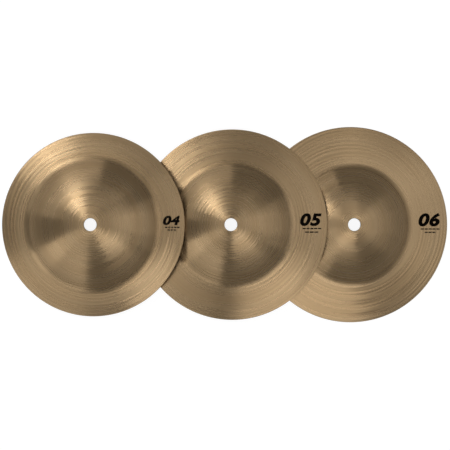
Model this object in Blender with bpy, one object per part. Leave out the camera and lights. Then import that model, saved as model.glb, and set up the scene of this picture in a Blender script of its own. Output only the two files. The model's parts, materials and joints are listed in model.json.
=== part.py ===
# A matched set of three bell cymbals, each one turned bronze casting, laid out as a fan.
# The right one lies flat with its bell up. The middle one leans with its left edge on the
# table and its right edge on the right one's bell, and the left one leans on the middle one.
# Metres, +Z up. The origin is on the table, under the middle of the set.

import math

import bmesh
import bpy
from mathutils import Matrix, Vector
from mathutils.bvhtree import BVHTree

# Outer size of each cymbal, the size of its bell at the foot, and the bell's height
LEFT_DIAMETER = 0.1642
LEFT_BELL_DIAMETER = 0.1180
LEFT_BELL_HEIGHT = 0.0207
MIDDLE_DIAMETER = 0.1714
MIDDLE_BELL_DIAMETER = 0.1094
MIDDLE_BELL_HEIGHT = 0.0193
RIGHT_DIAMETER = 0.1778
RIGHT_BELL_DIAMETER = 0.1058
RIGHT_BELL_HEIGHT = 0.0193

# What the three castings share
HOLE_DIAMETER = 0.0114
SEAT_DIAMETER = 0.0170  # flat land round the hole, where a felt or a nut bears
FLANGE_DROP = 0.0030  # fall of the flange from the bell's foot to the rim
FOOT_BLEND = 0.0040  # reach of the hollow curve between bell and flange, each way
BELL_WALL = 0.0024
RIM_WALL = 0.0018
RIM_CHAMFER = 0.0004
HOLE_CHAMFER = 0.0004

# The fan: distances between the cymbals' centres, and the gap that is left where one lies
# on the next
LEFT_TO_MIDDLE = 0.1245
MIDDLE_TO_RIGHT = 0.1092
LEAN_GAP = 0.0003
STEEPEST_LEAN = math.radians(40)
LEAN_HALVINGS = 24

# How finely the turned shapes are divided
SEGMENTS = 60
BELL_STEPS = 9
BLEND_STEPS = 3
FLANGE_STEPS = 3
SHARP_ANGLE = math.radians(35)

WARM_BRONZE = (0.50, 0.38, 0.22, 1.0)
PALE_BRONZE = (0.54, 0.42, 0.26, 1.0)
BROWN_BRONZE = (0.46, 0.35, 0.21, 1.0)
BRONZE_ROUGHNESS = 0.32


def clear_scene():
    for thing in list(bpy.data.objects):
        bpy.data.objects.remove(thing, do_unlink=True)


def bronze(name, colour):
    """Cast bronze, lathed bright."""
    material = bpy.data.materials.new(name)
    material.use_nodes = True
    shader = material.node_tree.nodes["Principled BSDF"]
    shader.inputs["Base Color"].default_value = colour
    shader.inputs["Metallic"].default_value = 1.0
    shader.inputs["Roughness"].default_value = BRONZE_ROUGHNESS
    return material


def flange_height(radius, foot, rim):
    """Height of the flange's upper face, which falls a little faster towards the rim."""
    along = (radius - foot) / (rim - foot)
    return RIM_WALL + FLANGE_DROP * (1 - along * (1 + along) / 2)


def bell_points(foot, height):
    """The bell in section: an arc centred on the axis, from the seat's edge to the foot."""
    seat = SEAT_DIAMETER / 2
    foot_z = RIM_WALL + FLANGE_DROP
    crown_z = foot_z + height
    centre_z = (crown_z ** 2 - foot_z ** 2 + seat ** 2 - foot ** 2) / (2 * height)
    arc_radius = math.hypot(seat, crown_z - centre_z)
    first = math.atan2(seat, crown_z - centre_z)
    last = math.atan2(foot, foot_z - centre_z) - FOOT_BLEND / arc_radius
    points = []
    for step in range(BELL_STEPS + 1):
        angle = first + (last - first) * step / BELL_STEPS
        height_here = centre_z + arc_radius * math.cos(angle)
        points.append(Vector((arc_radius * math.sin(angle), height_here)))
    return points


def top_points(rim, foot, height):
    """The upper face in section, from the crown's seat out to the rim."""
    bell = bell_points(foot, height)
    corner = Vector((foot, RIM_WALL + FLANGE_DROP))
    flange_start = foot + FOOT_BLEND
    landing = Vector((flange_start, flange_height(flange_start, foot, rim)))
    blend = []
    for step in range(1, BLEND_STEPS + 1):
        along = step / (BLEND_STEPS + 1)
        upper = bell[-1].lerp(corner, along)
        lower = corner.lerp(landing, along)
        blend.append(upper.lerp(lower, along))
    flange = []
    flange_end = rim - RIM_CHAMFER
    for step in range(FLANGE_STEPS + 1):
        radius = flange_start + (flange_end - flange_start) * step / FLANGE_STEPS
        flange.append(Vector((radius, flange_height(radius, foot, rim))))
    return bell + blend + flange


def wall_at(radius, foot, rim):
    """Thickness of the casting: even over the bell, thinner towards the rim."""
    along = min(max((radius - foot) / (rim - foot), 0), 1)
    return BELL_WALL + (RIM_WALL - BELL_WALL) * along


def underside_points(top, foot, rim):
    """The lower face: the upper one set in by the wall, measured square to the surface."""
    points = [top[0] - Vector((0, BELL_WALL))]
    for before, here, after in zip(top, top[1:], top[2:]):
        run = (after - before).normalized()
        inward = Vector((run.y, -run.x))
        points.append(here + inward * wall_at(here.x, foot, rim))
    points.append(Vector((top[-1].x, 0)))
    return points


def section(diameter, bell_diameter, bell_height):
    """The whole casting in section, run out along the top and back underneath."""
    rim = diameter / 2
    foot = bell_diameter / 2
    hole = HOLE_DIAMETER / 2
    top = top_points(rim, foot, bell_height)
    underside = underside_points(top, foot, rim)
    crown_z = top[0].y
    hollow_z = underside[0].y
    outline = [Vector((hole, crown_z - HOLE_CHAMFER)), Vector((hole + HOLE_CHAMFER, crown_z))]
    outline += top
    outline += [Vector((rim, top[-1].y - RIM_CHAMFER)), Vector((rim, RIM_CHAMFER))]
    outline += reversed(underside)
    outline += [Vector((hole + HOLE_CHAMFER, hollow_z)), Vector((hole, hollow_z + HOLE_CHAMFER))]
    return outline


def cymbal(name, diameter, bell_diameter, bell_height, material):
    """Turn the section round Z. The object's origin is the centre of the rim's lower edge."""
    outline = section(diameter, bell_diameter, bell_height)
    shape = bmesh.new()
    corners = [shape.verts.new((point.x, 0, point.y)) for point in outline]
    edges = [shape.edges.new((corner, corners[index - 1])) for index, corner in enumerate(corners)]
    bmesh.ops.spin(
        shape,
        geom=corners + edges,
        cent=(0, 0, 0),
        axis=(0, 0, 1),
        angle=math.tau,
        steps=SEGMENTS,
        use_merge=True,
    )
    bmesh.ops.recalc_face_normals(shape, faces=shape.faces)
    mesh = bpy.data.meshes.new(name)
    shape.to_mesh(mesh)
    shape.free()
    mesh.shade_smooth()
    mesh.set_sharp_from_angle(angle=SHARP_ANGLE)
    mesh.materials.append(material)
    thing = bpy.data.objects.new(name, mesh)
    bpy.context.scene.collection.objects.link(thing)
    return thing


def placed_points(thing):
    return [thing.matrix_basis @ vertex.co for vertex in thing.data.vertices]


def tree_of(thing):
    faces = [tuple(face.vertices) for face in thing.data.polygons]
    return BVHTree.FromPolygons(placed_points(thing), faces)


def lean(thing, centre_x, angle):
    """Tip a cymbal down to the left by an angle and set its lowest point on the table."""
    turn = Matrix.Rotation(-angle, 4, "Y")
    lowest = min((turn @ vertex.co).z for vertex in thing.data.vertices)
    thing.rotation_euler = turn.to_euler()
    thing.location = (centre_x, 0, -lowest)


def stands_clear(upper, lower):
    """True when the two castings keep at least the lean gap to each other."""
    upper_tree = tree_of(upper)
    lower_tree = tree_of(lower)
    if upper_tree.overlap(lower_tree):
        return False
    if any(lower_tree.find_nearest(point, LEAN_GAP)[0] for point in placed_points(upper)):
        return False
    return not any(upper_tree.find_nearest(point, LEAN_GAP)[0] for point in placed_points(lower))


def lean_on(upper, lower, centre_x):
    """Halve the range of lean until the upper cymbal lies on the lower one."""
    too_flat = 0.0
    clear = STEEPEST_LEAN
    for _ in range(LEAN_HALVINGS):
        middle = (too_flat + clear) / 2
        lean(upper, centre_x, middle)
        if stands_clear(upper, lower):
            clear = middle
        else:
            too_flat = middle
    lean(upper, centre_x, clear)
    print(upper.name, "leans", round(math.degrees(clear), 3), "degrees")


def centre_set(things):
    """Bring the middle of the set's width over the origin."""
    across = [point.x for thing in things for point in placed_points(thing)]
    shift = (min(across) + max(across)) / 2
    for thing in things:
        thing.location.x -= shift


def build():
    clear_scene()
    pale = bronze("pale_bronze", PALE_BRONZE)
    warm = bronze("warm_bronze", WARM_BRONZE)
    brown = bronze("brown_bronze", BROWN_BRONZE)
    right = cymbal("right_cymbal", RIGHT_DIAMETER, RIGHT_BELL_DIAMETER, RIGHT_BELL_HEIGHT, pale)
    middle = cymbal("middle_cymbal", MIDDLE_DIAMETER, MIDDLE_BELL_DIAMETER, MIDDLE_BELL_HEIGHT, warm)
    left = cymbal("left_cymbal", LEFT_DIAMETER, LEFT_BELL_DIAMETER, LEFT_BELL_HEIGHT, brown)
    lean(right, 0, 0)
    lean_on(middle, right, -MIDDLE_TO_RIGHT)
    lean_on(left, middle, -MIDDLE_TO_RIGHT - LEFT_TO_MIDDLE)
    centre_set([left, middle, right])


build()
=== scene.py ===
# Three lathed bronze bell cymbals, fanned on white paper.
import json
import math

import bmesh
import bpy
import numpy as np
from mathutils import Matrix, Vector


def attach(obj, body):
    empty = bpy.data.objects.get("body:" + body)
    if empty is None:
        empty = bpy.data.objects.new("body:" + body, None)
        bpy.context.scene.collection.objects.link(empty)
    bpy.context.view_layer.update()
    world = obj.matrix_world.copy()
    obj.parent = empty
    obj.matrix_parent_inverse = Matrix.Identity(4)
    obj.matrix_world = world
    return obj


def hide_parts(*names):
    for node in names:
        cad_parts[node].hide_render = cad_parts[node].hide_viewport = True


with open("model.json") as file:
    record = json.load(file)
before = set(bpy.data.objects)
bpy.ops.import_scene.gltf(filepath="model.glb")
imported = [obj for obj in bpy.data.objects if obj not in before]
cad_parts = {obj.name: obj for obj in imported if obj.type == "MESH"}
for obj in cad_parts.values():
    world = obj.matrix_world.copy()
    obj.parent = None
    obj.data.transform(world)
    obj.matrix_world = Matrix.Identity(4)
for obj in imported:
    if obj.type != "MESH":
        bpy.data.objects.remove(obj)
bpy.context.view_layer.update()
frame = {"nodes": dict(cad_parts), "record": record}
print("frame loaded:", sorted(frame["nodes"]))

mm = 0.001


def fromHex(text):
    # sRGB hex to linear
    parts = [int(text[i:i + 2], 16) / 255 for i in (1, 3, 5)]
    return [c / 12.92 if c <= 0.04045 else ((c + 0.055) / 1.055) ** 2.4 for c in parts] + [1.0]


def addNode(tree, kind, settings=None, values=None, links=None, give=0):
    # gives the node's first output, another one, or all of them with give=None
    node = tree.nodes.new(kind)
    for name, value in (settings or {}).items():
        setattr(node, name, value)
    for socket, value in (values or {}).items():
        node.inputs[socket].default_value = value
    for socket, source in (links or {}).items():
        tree.links.new(source, node.inputs[socket])
    return node.outputs if give is None or not node.outputs else node.outputs[give]


def addObject(name, mesh):
    thing = bpy.data.objects.new(name, mesh)
    bpy.context.scene.collection.objects.link(thing)
    return thing


# What the three castings share, as the solids have it, and how finely they are divided here
casting = {
    "hole": 11.4 * mm,
    "seat": 17.0 * mm,
    "flangeDrop": 3.0 * mm,
    "footBlend": 4.0 * mm,
    "bellWall": 2.4 * mm,
    "rimWall": 1.8 * mm,
    "rimChamfer": 0.4 * mm,
    "holeChamfer": 0.4 * mm,
    "segments": 256,  # round the axis
    "topPitch": 0.40 * mm,  # from point to point along the section
    "undersidePitch": 1.1 * mm,
    "bellSteps": 400,  # these three are far finer than the pitches, which then even them out
    "blendSteps": 60,
    "flangeSteps": 300,
    "chamferSteps": 4,
}


def flangeHeight(radius, foot, rim):
    along = (radius - foot) / (rim - foot)
    return casting["rimWall"] + casting["flangeDrop"] * (1 - along * (1 + along) / 2)


def topLine(rim, foot, height):
    # from the crown's seat out to the rim: arc of the bell, hollow blend at its foot, flange
    seat = casting["seat"] / 2
    footZ = casting["rimWall"] + casting["flangeDrop"]
    crownZ = footZ + height
    centreZ = (crownZ ** 2 - footZ ** 2 + seat ** 2 - foot ** 2) / (2 * height)
    arcRadius = math.hypot(seat, crownZ - centreZ)
    first = math.atan2(seat, crownZ - centreZ)
    last = math.atan2(foot, footZ - centreZ) - casting["footBlend"] / arcRadius
    angles = np.linspace(first, last, casting["bellSteps"])
    bell = np.stack([arcRadius * np.sin(angles), centreZ + arcRadius * np.cos(angles)], 1)
    corner = np.array([foot, footZ])
    start = foot + casting["footBlend"]
    landing = np.array([start, flangeHeight(start, foot, rim)])
    blend = curveThrough(bell[-1], corner, landing, casting["blendSteps"])[1:-1]
    radii = np.linspace(start, rim - casting["rimChamfer"], casting["flangeSteps"])
    flange = np.stack([radii, flangeHeight(radii, foot, rim)], 1)
    return np.concatenate([bell, blend, flange])


def curveThrough(start, corner, end, steps):
    # leaves start towards corner and lands on end from it
    t = np.linspace(0, 1, steps + 1)[:, None]
    start, corner, end = np.array(start), np.array(corner), np.array(end)
    return (1 - t) ** 2 * start + 2 * t * (1 - t) * corner + t ** 2 * end


def spaced(line, pitch):
    # the same line with points an even distance apart
    steps = np.linalg.norm(np.diff(line, axis=0), axis=1)
    reach = np.concatenate([[0], np.cumsum(steps)])
    marks = np.linspace(0, reach[-1], max(2, round(reach[-1] / pitch)) + 1)
    return np.stack([np.interp(marks, reach, line[:, k]) for k in (0, 1)], 1)


def innerFace(line, foot, rim):
    # the outer face set in by the wall, square to the surface
    run = np.gradient(line, axis=0)
    run /= np.linalg.norm(run, axis=1)[:, None]
    along = np.clip((line[:, 0] - foot) / (rim - foot), 0, 1)
    wall = casting["bellWall"] + (casting["rimWall"] - casting["bellWall"]) * along
    inner = line + np.stack([run[:, 1], -run[:, 0]], 1) * wall[:, None]
    inner[0] = line[0] - (0, casting["bellWall"])
    inner[-1] = (line[-1][0], 0)
    return inner


def castingSection(rim, foot, height):
    # a string of points: out along the top, back underneath and up the hole to the start.
    # "turned" is 1 where the lathe has cut, "flange" is 1 past the bell's foot, and "reach"
    # is the way along the face
    hole = casting["hole"] / 2
    top = topLine(rim, foot, height)
    under = innerFace(top, foot, rim)[::-1]
    top = spaced(top, casting["topPitch"])
    under = spaced(under, casting["undersidePitch"])
    crownZ, hollowZ, lipZ = top[0][1], under[-1][1], top[-1][1]
    c, h, steps = casting["rimChamfer"], casting["holeChamfer"], casting["chamferSteps"]
    land = spaced(np.array([[hole + h, crownZ], top[0]]), casting["topPitch"])
    innerLand = spaced(np.array([under[-1], [hole + h, hollowZ]]), casting["topPitch"])
    pieces = [
        (curveThrough((hole, crownZ - h), (hole, crownZ), (hole + h, crownZ), steps), 0),
        (land[1:-1], 1),
        (top, 1),
        (curveThrough(top[-1], (rim, lipZ), (rim, lipZ - c), steps)[1:], 0),
        (curveThrough((rim, c), (rim, 0), (rim - c, 0), steps), 0),
        (under[1:], 1),
        (innerLand[1:-1], 1),
        (curveThrough((hole + h, hollowZ), (hole, hollowZ), (hole, hollowZ + h), steps), 0),
        (np.array([(hole, crownZ - h)]), 0),
    ]
    points = np.concatenate([p for p, _ in pieces])
    turned = np.concatenate([np.full(len(p), float(t)) for p, t in pieces])
    strides = np.linalg.norm(np.diff(points, axis=0), axis=1)
    traits = {
        "turned": turned,
        "flange": np.clip((points[:, 0] - foot) / casting["footBlend"], 0, 1),
        "reach": np.concatenate([[0], np.cumsum(strides)]),
    }
    mesh = bpy.data.meshes.new("section")
    edges = [(i, i + 1) for i in range(len(points) - 1)]
    mesh.from_pydata([(x, 0, z) for x, z in points], edges, [])
    for trait, values in traits.items():
        mesh.attributes.new(trait, "FLOAT", "POINT").data.foreach_set("value", values)
    return mesh


# What the lathe leaves: shallow waves, and even ridges on the flange
toolMarks = {
    "ripplePitch": 1.9 * mm,
    "flangeRipple": 0.018 * mm,
    "bellRipple": 0.012 * mm,
    "skimPitch": 3.0 * mm,  # from ridge to ridge on the flange
    "ridgeFade": (0.2, 1.8),  # how deep a ridge is where it fades out and where it is strongest
    "drift": 2.0,  # how far a ridge can wander, in ridge spacings, over the noise's full span
    "driftRings": 0.2,  # 0.2 makes the rings that drift alike five ripples wide
    "flangeBite": (1.15, 0.25),  # how hard the tool bit between the calm sides and on them
    "bellBite": (0.3, 1.3),  # between the bell's two deeply cut sides and on them
    "deepSide": 120,  # degrees round from +X to one of those two sides of the bell
    "wander": 7.0,  # how fast rings change on their way round, in noise cells a metre
    "seedStep": 17.3,  # noise cells from one seed to the next
    "weld": 0.002 * mm,  # points closer than this are one, which closes the round
}


def turningTree():
    # A lathe: each row of a grid takes one point of the section and goes round the axis with it
    tree = bpy.data.node_groups.new("turnCasting", "GeometryNodeTree")
    face = tree.interface
    face.new_socket(name="Section", in_out="INPUT", socket_type="NodeSocketGeometry")
    face.new_socket(name="Segments", in_out="INPUT", socket_type="NodeSocketInt")
    for name in (
        "Ripple Pitch", "Flange Ripple", "Bell Ripple", "Skim Pitch", "Skim Depth", "Calm Side",
        "Deep Side", "Wander", "Seed",
    ):
        face.new_socket(name=name, in_out="INPUT", socket_type="NodeSocketFloat")
    face.new_socket(name="Finish", in_out="INPUT", socket_type="NodeSocketMaterial")
    face.new_socket(name="Casting", in_out="OUTPUT", socket_type="NodeSocketGeometry")
    given = addNode(tree, "NodeGroupInput", give=None)
    section = given["Section"]
    position = addNode(tree, "GeometryNodeInputPosition")
    named = {}
    for name in ("turned", "flange", "reach"):
        named[name] = addNode(
            tree, "GeometryNodeInputNamedAttribute", {"data_type": "FLOAT"}, {"Name": name}
        )

    rows = addNode(
        tree, "GeometryNodeAttributeDomainSize", {"component": "MESH"}, links={0: section}
    )
    columns = addNode(tree, "ShaderNodeMath", {"operation": "ADD"}, {1: 1}, {0: given["Segments"]})
    grid = addNode(
        tree, "GeometryNodeMeshGrid", None, {"Size X": 1, "Size Y": 1},
        {"Vertices X": columns, "Vertices Y": rows},
    )
    place = addNode(tree, "ShaderNodeSeparateXYZ", links={0: position}, give=None)
    round01 = addNode(tree, "ShaderNodeMath", {"operation": "ADD"}, {1: 0.5}, {0: place["X"]})
    down01 = addNode(tree, "ShaderNodeMath", {"operation": "ADD"}, {1: 0.5}, {0: place["Y"]})
    lastRow = addNode(tree, "ShaderNodeMath", {"operation": "SUBTRACT"}, {1: 1}, {0: rows})
    row = addNode(tree, "ShaderNodeMath", {"operation": "MULTIPLY"}, links={0: down01, 1: lastRow})
    row = addNode(tree, "ShaderNodeMath", {"operation": "ROUND"}, links={0: row})
    taken = {}
    for name, kind, source in (
        ("point", "FLOAT_VECTOR", position),
        ("turned", "FLOAT", named["turned"]),
        ("flange", "FLOAT", named["flange"]),
        ("reach", "FLOAT", named["reach"]),
    ):
        taken[name] = addNode(
            tree, "GeometryNodeSampleIndex", {"data_type": kind, "domain": "POINT"},
            links={"Geometry": section, "Value": source, "Index": row},
        )
    angle = addNode(tree, "ShaderNodeMath", {"operation": "MULTIPLY"}, {1: math.tau}, {0: round01})
    wrapped = addNode(
        tree, "ShaderNodeVectorRotate", {"rotation_type": "Z_AXIS"},
        links={"Vector": taken["point"], "Angle": angle},
    )

    # u runs round the axis and v along the face, in metres
    latheMap = addNode(tree, "ShaderNodeCombineXYZ", links={"X": round01, "Y": taken["reach"]})
    shape = addNode(
        tree, "GeometryNodeStoreNamedAttribute", {"data_type": "FLOAT2", "domain": "CORNER"},
        {"Name": "lathe"}, {"Geometry": grid, "Value": latheMap},
    )
    for name in ("turned", "flange", "reach"):
        shape = addNode(
            tree, "GeometryNodeStoreNamedAttribute", {"data_type": "FLOAT", "domain": "POINT"},
            {"Name": name}, {"Geometry": shape, "Value": taken[name]},
        )
    shape = addNode(tree, "GeometryNodeSetPosition", links={"Geometry": shape, "Position": wrapped})
    shape = addNode(
        tree, "GeometryNodeMergeByDistance", None, {"Distance": toolMarks["weld"]},
        {"Geometry": shape},
    )

    # flange and bell were both a little oval on the lathe, each its own way, so the tool bit less
    # on two opposite sides of each. The bite also scales the painted highlight on the flange's
    # ridge crests
    spot = addNode(tree, "ShaderNodeSeparateXYZ", links={0: position}, give=None)
    azimuth = addNode(
        tree, "ShaderNodeMath", {"operation": "ARCTAN2"}, links={0: spot["Y"], 1: spot["X"]}
    )
    bites = {}  # each goes by the cosine of twice the way round from its side
    for name, side, limits in (
        ("flange", given["Calm Side"], (-0.7, 0.4, *toolMarks["flangeBite"])),
        ("bell", given["Deep Side"], (-0.6, 0.8, *toolMarks["bellBite"])),
    ):
        past = addNode(
            tree, "ShaderNodeMath", {"operation": "SUBTRACT"}, links={0: azimuth, 1: side}
        )
        past = addNode(tree, "ShaderNodeMath", {"operation": "MULTIPLY"}, {1: 2}, {0: past})
        past = addNode(tree, "ShaderNodeMath", {"operation": "COSINE"}, links={0: past})
        limits = dict(zip(("From Min", "From Max", "To Min", "To Max"), limits))
        bites[name] = addNode(tree, "ShaderNodeMapRange", None, limits, {"Value": past})
    bite = addNode(
        tree, "ShaderNodeMix", {"data_type": "FLOAT"},
        links={0: named["flange"], 2: bites["bell"], 3: bites["flange"]},
    )
    shape = addNode(
        tree, "GeometryNodeStoreNamedAttribute", {"data_type": "FLOAT", "domain": "POINT"},
        {"Name": "bite"}, {"Geometry": shape, "Value": bite},
    )

    # shallow waves that the tool leaves, which come and go on their way round
    ring = addNode(
        tree, "ShaderNodeMath", {"operation": "DIVIDE"},
        links={0: named["reach"], 1: given["Ripple Pitch"]},
    )
    seed = addNode(
        tree, "ShaderNodeMath", {"operation": "MULTIPLY"}, {1: toolMarks["seedStep"]},
        {0: given["Seed"]},
    )
    ring = addNode(tree, "ShaderNodeMath", {"operation": "ADD"}, links={0: ring, 1: seed})
    east = addNode(
        tree, "ShaderNodeMath", {"operation": "MULTIPLY"}, links={0: spot["X"], 1: given["Wander"]}
    )
    north = addNode(
        tree, "ShaderNodeMath", {"operation": "MULTIPLY"}, links={0: spot["Y"], 1: given["Wander"]}
    )
    where = addNode(tree, "ShaderNodeCombineXYZ", links={"X": ring, "Y": east, "Z": north})
    wave = addNode(
        tree, "ShaderNodeTexNoise", {"noise_dimensions": "3D"},
        {"Scale": 1.0, "Detail": 0.3, "Roughness": 0.5}, {"Vector": where},
    )
    wave = addNode(tree, "ShaderNodeMath", {"operation": "SUBTRACT"}, {1: 0.5}, {0: wave})
    depth = addNode(
        tree, "ShaderNodeMix", {"data_type": "FLOAT"},
        links={0: named["flange"], 2: given["Bell Ripple"], 3: given["Flange Ripple"]},
    )
    wave = addNode(tree, "ShaderNodeMath", {"operation": "MULTIPLY"}, links={0: wave, 1: depth})

    # and even ridges on the flange, whose spacing drifts and which fade in and out
    slow = addNode(
        tree, "ShaderNodeVectorMath", {"operation": "MULTIPLY"},
        {1: (toolMarks["driftRings"], 1, 1)}, {0: where},
    )
    slow = addNode(
        tree, "ShaderNodeTexNoise", {"noise_dimensions": "3D"},
        {"Scale": 1.0, "Detail": 0.0}, {"Vector": slow}, "Color",
    )
    slow = addNode(tree, "ShaderNodeSeparateXYZ", links={0: slow}, give=None)
    turn = addNode(
        tree, "ShaderNodeMath", {"operation": "DIVIDE"},
        links={0: named["reach"], 1: given["Skim Pitch"]},
    )
    turn = addNode(
        tree, "ShaderNodeMath", {"operation": "MULTIPLY_ADD"}, {1: toolMarks["drift"]},
        {0: slow["X"], 2: turn},
    )
    turn = addNode(tree, "ShaderNodeMath", {"operation": "MULTIPLY"}, {1: math.tau}, {0: turn})
    ridge = addNode(tree, "ShaderNodeMath", {"operation": "SINE"}, links={0: turn})
    faint, strong = toolMarks["ridgeFade"]
    fade = addNode(
        tree, "ShaderNodeMapRange", None,
        {"From Min": 0.35, "From Max": 0.65, "To Min": faint, "To Max": strong},
        {"Value": slow["Y"]},
    )
    ridge = addNode(tree, "ShaderNodeMath", {"operation": "MULTIPLY"}, links={0: ridge, 1: fade})
    ridge = addNode(
        tree, "ShaderNodeMath", {"operation": "MULTIPLY"}, links={0: ridge, 1: named["flange"]}
    )
    # painted highlight on the flange's ridges: their crests, scaled by the bite, which the shader
    # paints brighter
    crestHighlight = addNode(tree, "ShaderNodeMath", {"operation": "MULTIPLY"}, links={0: ridge, 1: bite})
    shape = addNode(
        tree, "GeometryNodeStoreNamedAttribute", {"data_type": "FLOAT", "domain": "POINT"},
        {"Name": "crestHighlight"}, {"Geometry": shape, "Value": crestHighlight},
    )
    wave = addNode(
        tree, "ShaderNodeMath", {"operation": "MULTIPLY_ADD"},
        links={0: ridge, 1: given["Skim Depth"], 2: wave},
    )
    wave = addNode(
        tree, "ShaderNodeMath", {"operation": "MULTIPLY"}, links={0: wave, 1: named["turned"]}
    )
    wave = addNode(tree, "ShaderNodeMath", {"operation": "MULTIPLY"}, links={0: wave, 1: bite})
    normal = addNode(tree, "GeometryNodeInputNormal")
    lift = addNode(
        tree, "ShaderNodeVectorMath", {"operation": "SCALE"}, links={0: normal, "Scale": wave}
    )
    shape = addNode(tree, "GeometryNodeSetPosition", links={"Geometry": shape, "Offset": lift})
    shape = addNode(tree, "GeometryNodeSetShadeSmooth", links={"Geometry": shape})
    shape = addNode(tree, "GeometryNodeRealizeInstances", links={0: shape})
    shape = addNode(
        tree, "GeometryNodeSetMaterial", links={"Geometry": shape, "Material": given["Finish"]}
    )
    addNode(tree, "NodeGroupOutput", links={0: shape})
    return tree


def setInput(modifier, name, value):
    for item in modifier.node_group.interface.items_tree:
        if item.item_type == "SOCKET" and item.in_out == "INPUT" and item.name == name:
            modifier[item.identifier] = value


leftCymbal = {
    "node": "left_cymbal",
    "body": "left",
    "slot": "left_bronze",
    "seatMount": "left_crown_seat",
    "bellDiameter": 118.0 * mm,
    "bellHeight": 20.7 * mm,
    "bronze": "#A08868",
    "grooveSeed": 1.7,
    "skimDepth": 0.017 * mm,  # of the flange's even ridges
    "calmSide": 52,  # degrees round from +X to one of the flange's two lightly cut sides
    "mark": "04",
    # left, bottom, right and top of the number, from the axis
    "markBox": (62.8 * mm, -0.5 * mm, 77.8 * mm, 8.0 * mm),
    # start, end, height and count of the dashes in each row
    "dashRows": ((64.6 * mm, 77.5 * mm, -2.4 * mm, 5), (66.8 * mm, 74.3 * mm, -4.8 * mm, 3)),
}

middleCymbal = {
    "node": "middle_cymbal",
    "body": "middle",
    "slot": "middle_bronze",
    "seatMount": "middle_crown_seat",
    "bellDiameter": 109.4 * mm,
    "bellHeight": 19.3 * mm,
    "bronze": "#A08868",
    "grooveSeed": 5.2,
    "skimDepth": 0.018 * mm,
    "calmSide": 62,
    "mark": "05",
    "markBox": (61.3 * mm, -1.3 * mm, 80.6 * mm, 10.2 * mm),
    "dashRows": ((63.6 * mm, 80.2 * mm, -3.5 * mm, 5), (65.8 * mm, 77.6 * mm, -6.7 * mm, 3)),
}

rightCymbal = {
    "node": "right_cymbal",
    "body": "right",
    "slot": "right_bronze",
    "seatMount": "right_crown_seat",
    "bellDiameter": 105.8 * mm,
    "bellHeight": 19.3 * mm,
    "bronze": "#A08868",
    "grooveSeed": 9.4,
    "skimDepth": 0.021 * mm,
    "calmSide": 46,
    "mark": "06",
    "markBox": (61.8 * mm, -1.7 * mm, 82.0 * mm, 10.7 * mm),
    "dashRows": ((64.0 * mm, 81.6 * mm, -4.0 * mm, 5), (67.7 * mm, 77.8 * mm, -7.0 * mm, 3)),
}


def cymbalPlace(settings):
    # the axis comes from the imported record, the rim's centre from the node's own points
    mount = next(m for m in frame["record"]["mounts"] if m["name"] == settings["seatMount"])
    axis = Vector(mount["axis"]).normalized()
    points = np.array([v.co for v in frame["nodes"][settings["node"]].data.vertices])
    low, high = points.min(0), points.max(0)
    middle = Vector(points.mean(0))
    centre = middle + axis * (float((points @ np.array(axis)).min()) - middle.dot(axis))
    side = Vector((0, 1, 0))
    turn = Matrix((side.cross(axis), side, axis)).transposed().to_4x4()
    return Matrix.Translation(centre) @ turn, float(high[1] - low[1]) / 2


# The metal's look, the same on all three. The finest grooves are too fine to show one by one, so
# the stretched highlight stands for them, and the rings here are as coarse as the photo shows
bronzeLook = {
    "stretch": 0.94,
    "stretchTurn": 0.25,  # a quarter turn, which stretches across the grooves
    "roughness": (0.265, 0.29),
    "bellPitch": 1.5 * mm,
    "flangePitch": 1.8 * mm,
    "bellSway": (0.13, 0.04),  # how far a groove leans along its run, at the crown and lower down
    "calming": (14 * mm, 42 * mm),  # the way from the hole over which that fades
    "flangeSway": 0.09,
    "highlightGain": 0.09,  # how much brighter a ridge's crest is painted than the mean, a painted highlight
    "stainPitch": 9 * mm,
    "dulling": (0.93, 0.91, 0.88, 1),  # a stained ring's colour against a clean one's
    "ringDetail": 0.3,
    "stainDetail": 2.0,
    "seedStep": 31.7,  # noise cells from one seed to the next
}


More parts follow.
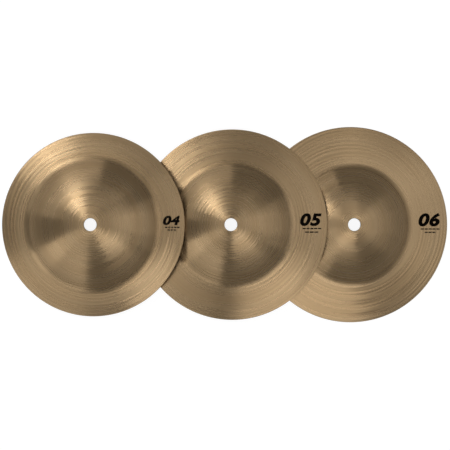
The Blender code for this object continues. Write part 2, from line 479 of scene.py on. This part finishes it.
def lathedBronze(settings):
    # tin bronze, cast and skimmed on a lathe. The fine grooves run round the axis, so a lamp's
    # reflection is drawn out along the radius into a bright spoke
    material = bpy.data.materials.new("lathedBronze_" + settings["node"])
    material.use_nodes = True
    tree = material.node_tree
    shader = tree.nodes["Principled BSDF"]
    shader.inputs["Metallic"].default_value = 1.0
    shader.inputs["Anisotropic"].default_value = bronzeLook["stretch"]
    shader.inputs["Anisotropic Rotation"].default_value = bronzeLook["stretchTurn"]

    spot = addNode(tree, "ShaderNodeTexCoord", give="Object")
    spot = addNode(tree, "ShaderNodeSeparateXYZ", links={0: spot}, give=None)
    reach = addNode(tree, "ShaderNodeUVMap", {"uv_map": "lathe"})
    reach = addNode(tree, "ShaderNodeSeparateXYZ", links={0: reach}, give="Y")
    wander = toolMarks["wander"]
    east = addNode(tree, "ShaderNodeMath", {"operation": "MULTIPLY"}, {1: wander}, {0: spot["X"]})
    north = addNode(tree, "ShaderNodeMath", {"operation": "MULTIPLY"}, {1: wander}, {0: spot["Y"]})
    seed = settings["grooveSeed"] * bronzeLook["seedStep"]
    ringNoise = {}
    for name, pitch, detail in (
        ("bell", bronzeLook["bellPitch"], bronzeLook["ringDetail"]),
        ("flange", bronzeLook["flangePitch"], bronzeLook["ringDetail"]),
        ("stain", bronzeLook["stainPitch"], bronzeLook["stainDetail"]),
    ):
        ring = addNode(
            tree, "ShaderNodeMath", {"operation": "MULTIPLY_ADD"}, {1: 1 / pitch, 2: seed},
            {0: reach},
        )
        where = addNode(tree, "ShaderNodeCombineXYZ", links={"X": ring, "Y": east, "Z": north})
        ringNoise[name] = addNode(
            tree, "ShaderNodeTexNoise", {"noise_dimensions": "3D"},
            {"Scale": 1.0, "Detail": detail, "Roughness": 0.5}, {"Vector": where},
        )

    # each groove leans a little along its own run, which makes the teeth at a spoke's edge
    tangent = addNode(tree, "ShaderNodeTangent", {"direction_type": "UV_MAP", "uv_map": "lathe"})
    facing = addNode(tree, "ShaderNodeNewGeometry", give="Normal")
    (near, far), (atCrown, below) = bronzeLook["calming"], bronzeLook["bellSway"]
    onBell = addNode(
        tree, "ShaderNodeMapRange", None,
        {"From Min": near, "From Max": far, "To Min": atCrown, "To Max": below}, {"Value": reach},
    )
    past = addNode(tree, "ShaderNodeAttribute", {"attribute_name": "flange"}, give="Fac")
    amount = addNode(
        tree, "ShaderNodeMix", {"data_type": "FLOAT"}, {3: bronzeLook["flangeSway"]},
        {0: past, 2: onBell},
    )
    sway = addNode(
        tree, "ShaderNodeMix", {"data_type": "FLOAT"},
        links={0: past, 2: ringNoise["bell"], 3: ringNoise["flange"]},
    )
    sway = addNode(tree, "ShaderNodeMath", {"operation": "SUBTRACT"}, {1: 0.5}, {0: sway})
    sway = addNode(tree, "ShaderNodeMath", {"operation": "MULTIPLY"}, links={0: sway, 1: amount})
    bite = addNode(tree, "ShaderNodeAttribute", {"attribute_name": "bite"}, give="Fac")
    sway = addNode(tree, "ShaderNodeMath", {"operation": "MULTIPLY"}, links={0: sway, 1: bite})
    swayed = addNode(
        tree, "ShaderNodeVectorMath", {"operation": "SCALE"}, links={0: tangent, "Scale": sway}
    )
    swayed = addNode(
        tree, "ShaderNodeVectorMath", {"operation": "ADD"}, links={0: swayed, 1: facing}
    )
    swayed = addNode(tree, "ShaderNodeVectorMath", {"operation": "NORMALIZE"}, links={0: swayed})
    tree.links.new(swayed, shader.inputs["Normal"])
    tree.links.new(tangent, shader.inputs["Tangent"])

    smooth, coarse = bronzeLook["roughness"]
    rough = addNode(
        tree, "ShaderNodeMapRange", None,
        {"From Min": 0.3, "From Max": 0.7, "To Min": smooth, "To Max": coarse},
        {"Value": ringNoise["bell"]},
    )
    tree.links.new(rough, shader.inputs["Roughness"])
    clean = fromHex(settings["bronze"])
    dulled = [c * k for c, k in zip(clean, bronzeLook["dulling"])]
    blend = addNode(
        tree, "ShaderNodeMapRange", None, {"From Min": 0.35, "From Max": 0.65},
        {"Value": ringNoise["stain"]},
    )
    colour = addNode(
        tree, "ShaderNodeMix", {"data_type": "RGBA"}, {6: clean, 7: dulled}, {0: blend}, 2
    )
    # painted highlight: the ridges' crests are painted a little brighter than the hollows, so the
    # rings show as light bands under any lamp
    crestHighlight = addNode(tree, "ShaderNodeAttribute", {"attribute_name": "crestHighlight"}, give="Fac")
    crestHighlight = addNode(
        tree, "ShaderNodeMath", {"operation": "MULTIPLY_ADD"}, {1: bronzeLook["highlightGain"], 2: 1.0},
        {0: crestHighlight},
    )
    colour = addNode(
        tree, "ShaderNodeVectorMath", {"operation": "SCALE"}, links={0: colour, "Scale": crestHighlight}
    )
    tree.links.new(colour, shader.inputs["Base Color"])
    return material


def makeCymbal(settings, place, rim, tree):
    section = castingSection(rim, settings["bellDiameter"] / 2, settings["bellHeight"])
    blank = addObject("blank", section)
    modifier = blank.modifiers.new("turning", "NODES")
    modifier.node_group = tree
    setInput(modifier, "Segments", casting["segments"])
    setInput(modifier, "Ripple Pitch", toolMarks["ripplePitch"])
    setInput(modifier, "Flange Ripple", toolMarks["flangeRipple"])
    setInput(modifier, "Bell Ripple", toolMarks["bellRipple"])
    setInput(modifier, "Skim Pitch", toolMarks["skimPitch"])
    setInput(modifier, "Skim Depth", settings["skimDepth"])
    setInput(modifier, "Calm Side", math.radians(settings["calmSide"]))
    setInput(modifier, "Deep Side", math.radians(toolMarks["deepSide"]))
    setInput(modifier, "Wander", toolMarks["wander"])
    setInput(modifier, "Seed", settings["grooveSeed"])
    setInput(modifier, "Finish", lathedBronze(settings))
    turned = blank.evaluated_get(bpy.context.evaluated_depsgraph_get())
    mesh = bpy.data.meshes.new_from_object(turned)
    bpy.data.objects.remove(blank)
    bpy.data.meshes.remove(section)
    mesh.transform(place)
    cymbal = addObject(settings["node"] + "_turned", mesh)
    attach(cymbal, settings["body"])
    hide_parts(settings["node"])
    print(cymbal.name, "has", sum(len(p.vertices) - 2 for p in mesh.polygons), "triangles")


# The numbers and dashes on the flanges. The font's own values are in letter heights
printing = {
    "colour": "#060301",
    "shine": 0.03,
    "roughness": (0.5, 0.7),
    "grain": 0.4 * mm,  # that the roughness varies over
    "boldness": 0.045,
    "spacing": 1.08,
    "slant": 0.22,
    "curveSteps": 6,
    "dashHeight": 1.1 * mm,
    "dashGap": 0.6 * mm,
    "thickness": 0.08 * mm,
    "sliver": 1e-6,  # a face of the font under this, in square letter heights, is one
    "shortest": 0.0005 * mm,  # an edge under this closes up
    "cuts": range(60, 84),  # millimetres from the axis, where it is cut to follow the flange
}


def printedInk():
    # black screen ink, thin and matt, with a little of the metal's grain in its shine
    material = bpy.data.materials.new("screenPrintedInk")
    material.use_nodes = True
    tree = material.node_tree
    shader = tree.nodes["Principled BSDF"]
    shader.inputs["Base Color"].default_value = fromHex(printing["colour"])
    shader.inputs["Specular IOR Level"].default_value = printing["shine"]
    spot = addNode(tree, "ShaderNodeTexCoord", give="Object")
    grain = addNode(
        tree, "ShaderNodeTexNoise", None, {"Scale": 1 / printing["grain"], "Detail": 2.0},
        {"Vector": spot},
    )
    smooth, coarse = printing["roughness"]
    rough = addNode(
        tree, "ShaderNodeMapRange", None, {"To Min": smooth, "To Max": coarse}, {"Value": grain}
    )
    tree.links.new(rough, shader.inputs["Roughness"])
    return material


def makeMark(settings, place, rim, ink):
    # a bold number and two rows of dashes, laid over the flange as a thin solid
    text = bpy.data.curves.new("mark", "FONT")
    text.body = settings["mark"]
    text.offset = printing["boldness"]
    text.space_character = printing["spacing"]
    text.shear = printing["slant"]
    text.resolution_u = printing["curveSteps"]
    written = addObject("mark", text)
    drawn = written.evaluated_get(bpy.context.evaluated_depsgraph_get())
    mesh = bpy.data.meshes.new_from_object(drawn)
    bpy.data.objects.remove(written)
    bpy.data.curves.remove(text)
    corners = np.array([v.co for v in mesh.vertices])
    low, high = corners.min(0), corners.max(0)
    left, bottom, right, top = settings["markBox"]
    # the number is stretched both ways to fill its box
    wide, tall = (right - left) / (high[0] - low[0]), (top - bottom) / (high[1] - low[1])
    shape = bmesh.new()
    shape.from_mesh(mesh)
    bpy.data.meshes.remove(mesh)
    # a flat sliver that the font leaves joins the face past its longest side
    slivers = [face for face in shape.faces if face.calc_area() < printing["sliver"]]
    sides = dict.fromkeys(max(face.edges, key=lambda edge: edge.calc_length()) for face in slivers)
    bmesh.ops.dissolve_edges(shape, edges=list(sides))
    for vert in shape.verts:
        vert.co.x = left + (vert.co.x - low[0]) * wide
        vert.co.y = bottom + (vert.co.y - low[1]) * tall
    gap, half = printing["dashGap"], printing["dashHeight"] / 2
    for start, end, height, count in settings["dashRows"]:
        pitch = (end - start + gap) / count
        y0, y1 = height - half, height + half
        for k in range(count):
            x0 = start + k * pitch
            x1 = x0 + pitch - gap
            dash = ((x0, y0), (x1, y0), (x1, y1), (x0, y1))
            shape.faces.new([shape.verts.new((x, y, 0)) for x, y in dash])
    for k in printing["cuts"]:
        whole = shape.verts[:] + shape.edges[:] + shape.faces[:]
        bmesh.ops.bisect_plane(shape, geom=whole, plane_co=(k * mm, 0, 0), plane_no=(1, 0, 0))
    bmesh.ops.dissolve_degenerate(shape, dist=printing["shortest"], edges=shape.edges[:])
    bmesh.ops.triangulate(shape, faces=shape.faces[:])
    foot = settings["bellDiameter"] / 2
    for vert in shape.verts:
        radius = math.hypot(vert.co.x, vert.co.y)
        vert.co.z = flangeHeight(radius, foot, rim)
    grown = bmesh.ops.extrude_face_region(shape, geom=shape.faces[:])["geom"]
    for item in grown:
        if isinstance(item, bmesh.types.BMVert):
            item.co.z += printing["thickness"]
    bmesh.ops.recalc_face_normals(shape, faces=shape.faces[:])
    # the walls come in no fixed order, so the faces are put in one, along a slanting line
    slanting = Vector((1, 0.37, 0.11))
    shape.faces.sort(key=lambda face: face.calc_center_median().dot(slanting))
    made = bpy.data.meshes.new(settings["body"] + "_mark")
    shape.to_mesh(made)
    shape.free()
    made.transform(place)
    made.materials.append(ink)
    mark = addObject(settings["body"] + "_mark", made)
    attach(mark, settings["body"])
    print(mark.name, "has", len(made.polygons), "triangles")


paper = {
    "radius": 20.0,
    "edgeSteps": 96,
    "below": 0.2 * mm,  # how far it lies under the set
    "colour": "#FBFBFB",
    "roughness": 0.9,
    "glow": 1.1,  # what the camera and the metal see of it
    "glowShare": 0.84,  # the rest is lit paper, which keeps the shadows
    "whiteFrom": 0.4,  # metres from the middle, where it starts to turn plain white
    "whitePast": 2.0,
    "shadeReach": 0.2,  # metres over which the set shades it in a mirrored view
    "shadeLimits": (0.2, 0.6),  # how open it is where that shade is full, and where it ends
}


def makePaper():
    # a wide round sheet of matt white card
    material = bpy.data.materials.new("whiteCard")
    material.use_nodes = True
    tree = material.node_tree
    shader = tree.nodes["Principled BSDF"]
    shader.inputs["Base Color"].default_value = fromHex(paper["colour"])
    shader.inputs["Roughness"].default_value = paper["roughness"]
    rays = addNode(tree, "ShaderNodeLightPath", give=None)
    # a mirrored ray that ends in the shade under the set meets the paper as it is lit
    shade = addNode(
        tree, "ShaderNodeAmbientOcclusion", {"samples": 8}, {"Distance": paper["shadeReach"]},
        give="AO",
    )
    closed, opened = paper["shadeLimits"]
    openness = addNode(
        tree, "ShaderNodeMapRange", None, {"From Min": closed, "From Max": opened},
        {"Value": shade},
    )
    mirrored = addNode(
        tree, "ShaderNodeMath", {"operation": "MULTIPLY"},
        links={0: rays["Is Glossy Ray"], 1: openness},
    )
    seen = addNode(
        tree, "ShaderNodeMath", {"operation": "MAXIMUM"},
        links={0: rays["Is Camera Ray"], 1: mirrored},
    )
    seen = addNode(
        tree, "ShaderNodeMath", {"operation": "MAXIMUM"},
        links={0: seen, 1: rays["Is Transmission Ray"]},
    )
    # far from the set it is plain white
    spot = addNode(tree, "ShaderNodeTexCoord", give="Object")
    away = addNode(
        tree, "ShaderNodeVectorMath", {"operation": "LENGTH"}, links={0: spot}, give="Value"
    )
    limits = {"From Min": paper["whiteFrom"], "From Max": paper["whitePast"]}
    share = addNode(
        tree, "ShaderNodeMapRange", {"interpolation_type": "SMOOTHSTEP"},
        {**limits, "To Min": paper["glowShare"], "To Max": 1.0}, {"Value": away},
    )
    share = addNode(tree, "ShaderNodeMath", {"operation": "MULTIPLY"}, links={0: share, 1: seen})
    glow = addNode(
        tree, "ShaderNodeEmission", None, {"Color": (1, 1, 1, 1), "Strength": paper["glow"]}
    )
    lit = addNode(tree, "ShaderNodeMixShader", links={0: share, 1: shader.outputs[0], 2: glow})
    # from below, the set is seen through it
    behind = addNode(tree, "ShaderNodeNewGeometry", give="Backfacing")
    behind = addNode(
        tree, "ShaderNodeMath", {"operation": "MULTIPLY"},
        links={0: behind, 1: rays["Is Camera Ray"]},
    )
    clear = addNode(tree, "ShaderNodeBsdfTransparent")
    lit = addNode(tree, "ShaderNodeMixShader", links={0: behind, 1: lit, 2: clear})
    tree.links.new(lit, tree.nodes["Material Output"].inputs["Surface"])
    count = paper["edgeSteps"]
    turns = [math.tau * k / count for k in range(count)]
    edge = [(paper["radius"] * math.cos(a), paper["radius"] * math.sin(a), 0) for a in turns]
    mesh = bpy.data.meshes.new("paper")
    mesh.from_pydata(edge, [], [range(count)])
    mesh.materials.append(material)
    mesh.transform(Matrix.Translation((0, 0, -paper["below"])))
    addObject("paper", mesh)
    print("paper laid under the set")


# Soft boxes round the set, each facing it. Azimuth from +X and angle off the vertical, the angles
# that it fills across and up, all in degrees, its brightness as seen in a mirror, and its
# distance in metres
softBoxes = {
    "key": (137, 41, 12, 11, 6.2, 2.0),
    "keyWest": (125, 41, 12, 11, 2.1, 2.0),
    "keyEast": (149, 41, 12, 11, 5.0, 2.0),
    "keyLow": (115, 64, 36, 16, 1.2, 1.3),
    "lowBetween": (145, 64, 24, 16, 0.5, 1.3),
    "leftEnd": (164, 64, 16, 16, 0.9, 1.3),
    "front": (282, 19, 23, 21, 2.17, 1.3),
    "left": (180, 19, 26, 15, 1.5, 4.0),
    "leftFront": (220, 44, 38, 17, 1.1, 4.0),
    "leftLowBack": (208, 64, 16, 16, 2.1, 4.0),
    "leftLow": (234.5, 64, 33, 16, 1.08, 4.0),
    "back": (93, 28, 33, 6.5, 1.42, 1.3),
    "rightTop": (28, 16.5, 27, 20, 0.95, 1.3),
    "rightBack": (25, 45, 12, 32, 0.37, 1.3),
    "right": (2, 42, 24, 42, 0.48, 1.3),
    "rightFront": (337, 38, 15, 50, 0.29, 1.3),
}


def makeLights():
    for name, row in softBoxes.items():
        azimuth, offVertical, across, up = (math.radians(angle) for angle in row[:4])
        brightness, distance = row[4:]
        side = Vector((-math.sin(azimuth), math.cos(azimuth), 0))
        out = Vector((math.cos(azimuth), math.sin(azimuth), 0)) * math.sin(offVertical)
        out.z = math.cos(offVertical)
        lamp = bpy.data.lights.new(name, "AREA")
        lamp.shape = "RECTANGLE"
        lamp.size = 2 * distance * math.tan(across / 2)
        lamp.size_y = 2 * distance * math.tan(up / 2)
        lamp.energy = brightness * math.pi * lamp.size * lamp.size_y  # watts of a flat lamp
        thing = addObject(name, lamp)
        turn = Matrix((side, out.cross(side), out)).transposed().to_4x4()
        thing.matrix_world = Matrix.Translation(out * distance) @ turn
        thing.visible_camera = False
    print("lights:", len(softBoxes), "soft boxes")


room = {
    "light": 0.19,  # what it gives the set from all round
    "whiteBelow": 0.03,  # sine of the height over the horizon, under which it starts to turn white
}


def makeWorld():
    # an evenly dim room, and white past the paper's edge, which the camera and the metal both see
    world = bpy.data.worlds.new("studio")
    bpy.context.scene.world = world
    world.use_nodes = True
    tree = world.node_tree
    ground = tree.nodes["Background"]
    ground.inputs["Color"].default_value = (1, 1, 1, 1)
    rays = addNode(tree, "ShaderNodeLightPath", give=None)
    way = addNode(tree, "ShaderNodeTexCoord", give="Generated")
    way = addNode(tree, "ShaderNodeSeparateXYZ", links={0: way}, give="Z")
    low = addNode(
        tree, "ShaderNodeMapRange", None, {"From Min": room["whiteBelow"], "From Max": 0.0},
        {"Value": way},
    )
    seen = addNode(
        tree, "ShaderNodeMath", {"operation": "MAXIMUM"},
        links={0: rays["Is Glossy Ray"], 1: rays["Is Transmission Ray"]},
    )
    seen = addNode(tree, "ShaderNodeMath", {"operation": "MULTIPLY"}, links={0: seen, 1: low})
    seen = addNode(
        tree, "ShaderNodeMath", {"operation": "MAXIMUM"}, links={0: seen, 1: rays["Is Camera Ray"]}
    )
    strength = addNode(
        tree, "ShaderNodeMapRange", None, {"To Min": room["light"], "To Max": 1.0}, {"Value": seen}
    )
    tree.links.new(strength, ground.inputs["Strength"])
    print("room lit")


camera = {
    "distance": 1.6,
    "lens": 141.2,  # millimetres, as the sensor
    "sensor": 36.0,
    "tilt": 4.4,  # degrees off the vertical, towards the left cymbal
    "aim": (-0.00147, -0.00032, 0.0),
    "clip": (0.05, 60),
}


def makeCamera():
    lens = bpy.data.cameras.new("camera")
    lens.lens = camera["lens"]
    lens.sensor_width = camera["sensor"]
    lens.clip_start, lens.clip_end = camera["clip"]
    thing = addObject("camera", lens)
    tilt = math.radians(camera["tilt"])
    back = Vector((-math.sin(tilt), 0, math.cos(tilt)))
    thing.location = Vector(camera["aim"]) + back * camera["distance"]
    thing.rotation_euler = (0, -tilt, 0)
    bpy.context.scene.camera = thing
    print("camera set", camera["distance"], "m away")


makeCamera()
turning = turningTree()
ink = printedInk()
for settings in (leftCymbal, middleCymbal, rightCymbal):
    place, rim = cymbalPlace(settings)
    makeCymbal(settings, place, rim, turning)
    makeMark(settings, place, rim, ink)
makePaper()
makeLights()
makeWorld()
bpy.context.scene.view_settings.view_transform = "Standard"
